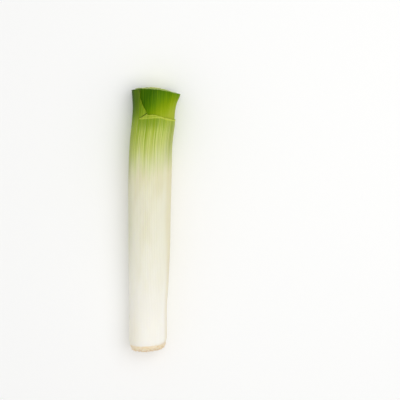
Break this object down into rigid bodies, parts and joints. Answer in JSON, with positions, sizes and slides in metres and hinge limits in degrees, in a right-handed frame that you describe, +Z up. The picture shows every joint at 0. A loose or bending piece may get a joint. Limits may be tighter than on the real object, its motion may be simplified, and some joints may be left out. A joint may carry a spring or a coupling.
{
  "type": "leek",
  "caption": "Leek trimmed for sale: a long shaft of leaves wrapped round each other, white fading to green, cut across at the green end, with a root plate of trimmed root stubs.",
  "frame": {"origin": "on the surface that the leek lies on, under the middle of its box", "axes": "+Y along the shaft from the root plate to the cut green end, +Z up, +X to the right seen from above with the green end away"},
  "size_m": [0.0546, 0.2794, 0.0441],
  "materials": {
    "outer_leaf": "satin leaf skin with fine lengthwise ribs, white at the root end fading to green at the mouth",
    "green_blade": "satin leaf skin with fine lengthwise ribs, yellow green fading to dark green at the cut",
    "inner_leaf": "moist cut leaf, pale yellow green with a greener rim",
    "root": "dry matte cut stem, cream with tan root stubs"
  },
  "bodies": {
    "root": {"leaf_1": "outer_leaf", "leaf_2": "green_blade", "leaf_3": "inner_leaf", "leaf_4": "inner_leaf", "leaf_5": "inner_leaf", "leaf_6": "inner_leaf", "leaf_7": "inner_leaf", "leaf_8": "inner_leaf", "leaf_9": "inner_leaf", "root_plate": "root"}
  },
  "joints": []
}
